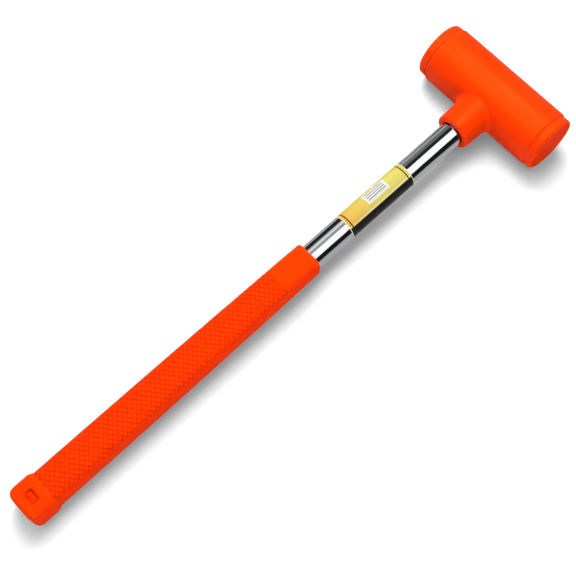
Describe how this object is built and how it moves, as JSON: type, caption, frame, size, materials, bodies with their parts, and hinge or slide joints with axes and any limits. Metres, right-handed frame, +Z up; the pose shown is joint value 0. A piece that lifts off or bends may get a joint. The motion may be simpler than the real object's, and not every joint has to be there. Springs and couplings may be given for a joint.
{
  "type": "dead blow sledgehammer",
  "caption": "Two-handed dead blow sledgehammer: a moulded barrel head with flat strike caps and a sliding shot charge, on a plated steel tube with a chequered square grip.",
  "frame": {"origin": "on the floor, under the middle of the whole tool's box", "axes": "+X along the head's axis to the right strike face, +Y along the handle towards the head, +Z up"},
  "size_m": [0.1906, 0.7876, 0.0762],
  "materials": {
    "head_moulding": "satin orange moulding",
    "grip_moulding": "satin orange moulding, chequered",
    "tube_chrome": "bright plated",
    "canister_steel": "plain welded steel",
    "shot_steel": "rolled bright",
    "label_film": "printed film",
    "plug_plastic": "plain black"
  },
  "bodies": {
    "hammer": {"head_casing": "head_moulding", "strike_cap_right": "head_moulding", "strike_cap_left": "head_moulding", "canister_tube": "canister_steel", "canister_end_right": "canister_steel", "canister_end_left": "canister_steel", "handle_socket": "canister_steel", "socket_pin": "canister_steel", "handle_tube": "tube_chrome", "label_sleeve": "label_film", "grip_sleeve": "grip_moulding", "butt_pad": "grip_moulding", "tube_plug": "plug_plastic"},
    "shot_charge": {"shot_ball_01": "shot_steel", "shot_ball_02": "shot_steel", "shot_ball_03": "shot_steel", "shot_ball_04": "shot_steel", "shot_ball_05": "shot_steel", "shot_ball_06": "shot_steel", "shot_ball_07": "shot_steel", "shot_ball_08": "shot_steel", "shot_ball_09": "shot_steel", "shot_ball_10": "shot_steel", "shot_ball_11": "shot_steel", "shot_ball_12": "shot_steel", "shot_ball_13": "shot_steel", "shot_ball_14": "shot_steel", "shot_ball_15": "shot_steel", "shot_ball_16": "shot_steel", "shot_ball_17": "shot_steel", "shot_ball_18": "shot_steel", "shot_ball_19": "shot_steel", "shot_ball_20": "shot_steel", "shot_ball_21": "shot_steel", "shot_ball_22": "shot_steel", "shot_ball_23": "shot_steel", "shot_ball_24": "shot_steel", "shot_ball_25": "shot_steel", "shot_ball_26": "shot_steel", "shot_ball_27": "shot_steel", "shot_ball_28": "shot_steel", "shot_ball_29": "shot_steel", "shot_ball_30": "shot_steel", "shot_ball_31": "shot_steel", "shot_ball_32": "shot_steel", "shot_ball_33": "shot_steel", "shot_ball_34": "shot_steel", "shot_ball_35": "shot_steel"}
  },
  "joints": [
    {"name": "shot_slide", "type": "slide", "parent": "hammer", "child": "shot_charge", "axis": [1, 0, 0], "range_m": [-0.0178, 0.0178]}
  ]
}
